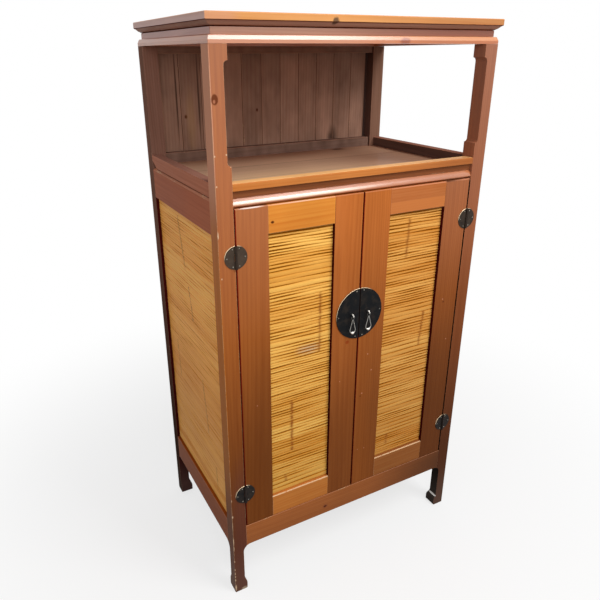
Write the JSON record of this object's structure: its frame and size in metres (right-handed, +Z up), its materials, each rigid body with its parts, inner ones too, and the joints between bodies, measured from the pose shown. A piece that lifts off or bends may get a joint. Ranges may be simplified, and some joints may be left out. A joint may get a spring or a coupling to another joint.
{
  "type": "bamboo tv cabinet",
  "caption": "Tall wooden cabinet with slatted bamboo door and side panels, round iron hinges, a round lock plate with teardrop pulls, and an open bay with a sunk shelf above the doors.",
  "frame": {"origin": "on the floor, under the middle of the cabinet's overall box", "axes": "+Z up; -Y towards the front with the doors; +X to the right as seen from the front"},
  "size_m": [0.7916, 0.53, 1.523],
  "materials": {
    "post_wood": "varnished reddish brown hardwood",
    "rail_wood": "varnished reddish brown hardwood",
    "pale_wood": "varnished lighter orange brown hardwood",
    "shelf_wood": "worn greyish brown wood",
    "back_wood": "dark brown boards",
    "bamboo": "golden split bamboo slats",
    "dark_iron": "blackened iron, worn at the rims",
    "pull_metal": "bright worn white metal"
  },
  "bodies": {
    "carcass": {"front_left_post": "post_wood", "front_right_post": "post_wood", "rear_left_post": "post_wood", "rear_right_post": "post_wood", "front_apron": "rail_wood", "front_bead_rail": "rail_wood", "front_waist_strip": "rail_wood", "rear_bottom_rail": "rail_wood", "rear_shelf_rail": "rail_wood", "rear_bay_rail": "rail_wood", "left_bottom_rail": "rail_wood", "left_upper_rail": "rail_wood", "left_shelf_rail": "rail_wood", "right_bottom_rail": "rail_wood", "right_upper_rail": "rail_wood", "right_shelf_rail": "rail_wood", "bottom_board": "rail_wood", "left_shelf_cleat": "rail_wood", "right_shelf_cleat": "rail_wood", "front_top_rail": "rail_wood", "rear_top_rail": "rail_wood", "left_top_rail": "rail_wood", "right_top_rail": "rail_wood", "front_frieze": "rail_wood", "rear_frieze": "rail_wood", "left_frieze": "rail_wood", "right_frieze": "rail_wood", "front_shelf_rail": "pale_wood", "top_panel": "pale_wood", "shelf_panel": "shelf_wood", "inner_shelf": "shelf_wood", "back_boards": "back_wood", "lower_back_panel": "back_wood", "left_bamboo_panel": "bamboo", "right_bamboo_panel": "bamboo", "upper_left_hinge_post_leaf": "dark_iron", "lower_left_hinge_post_leaf": "dark_iron", "upper_right_hinge_post_leaf": "dark_iron", "lower_right_hinge_post_leaf": "dark_iron"},
    "left_door": {"left_door_hinge_stile": "post_wood", "left_door_meeting_stile": "post_wood", "left_door_top_rail": "pale_wood", "left_door_bottom_rail": "pale_wood", "left_door_bamboo_panel": "bamboo", "upper_left_hinge_door_leaf": "dark_iron", "lower_left_hinge_door_leaf": "dark_iron", "left_lock_plate": "dark_iron", "left_staple": "pull_metal"},
    "right_door": {"right_door_hinge_stile": "post_wood", "right_door_meeting_stile": "post_wood", "right_door_top_rail": "pale_wood", "right_door_bottom_rail": "pale_wood", "right_door_bamboo_panel": "bamboo", "upper_right_hinge_door_leaf": "dark_iron", "lower_right_hinge_door_leaf": "dark_iron", "right_lock_plate": "dark_iron", "right_staple": "pull_metal"},
    "left_pull": {"left_pull": "pull_metal"},
    "right_pull": {"right_pull": "pull_metal"}
  },
  "joints": [
    {"name": "left_door_hinge", "type": "hinge", "parent": "carcass", "child": "left_door", "pos_m": [-0.34875, -0.25435, 0.682], "axis": [0, 0, -1], "range_deg": [0, 170]},
    {"name": "right_door_hinge", "type": "hinge", "parent": "carcass", "child": "right_door", "pos_m": [0.34875, -0.25435, 0.682], "axis": [0, 0, 1], "range_deg": [0, 170]},
    {"name": "left_pull_swing", "type": "hinge", "parent": "left_door", "child": "left_pull", "pos_m": [-0.0255, -0.26085, 0.806], "axis": [-1, 0, 0], "range_deg": [-4, 120]},
    {"name": "right_pull_swing", "type": "hinge", "parent": "right_door", "child": "right_pull", "pos_m": [0.0255, -0.26085, 0.806], "axis": [-1, 0, 0], "range_deg": [-4, 120]}
  ]
}
